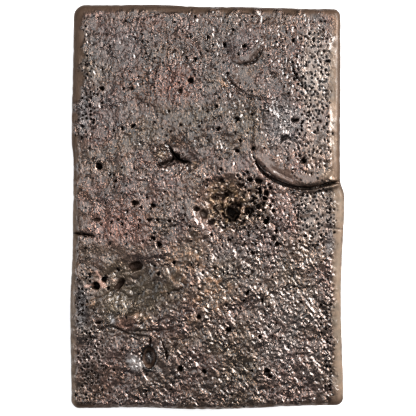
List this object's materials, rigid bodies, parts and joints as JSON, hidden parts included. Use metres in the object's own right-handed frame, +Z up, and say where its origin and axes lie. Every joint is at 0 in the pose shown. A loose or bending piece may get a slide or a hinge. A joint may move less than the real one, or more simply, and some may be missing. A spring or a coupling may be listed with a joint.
{
  "type": "copper ingot",
  "caption": "Flat rectangular hand-poured copper ingot with drafted sides, a rounded wavy rim, a smooth flat underside and a lapped, porous, wrinkled open top face.",
  "frame": {"origin": "centre of the overall rectangle, on the flat underside", "axes": "+Z up through the open cast face, +Y along the length, towards the end away from the eye-shaped blister, +X to the right of someone looking down with +Y ahead"},
  "size_m": [0.103, 0.152, 0.0229],
  "materials": {
    "cast_copper": "as cast, dulled brown oxide with bright metal on worn edges"
  },
  "bodies": {
    "root": {"ingot": "cast_copper"}
  },
  "joints": []
}
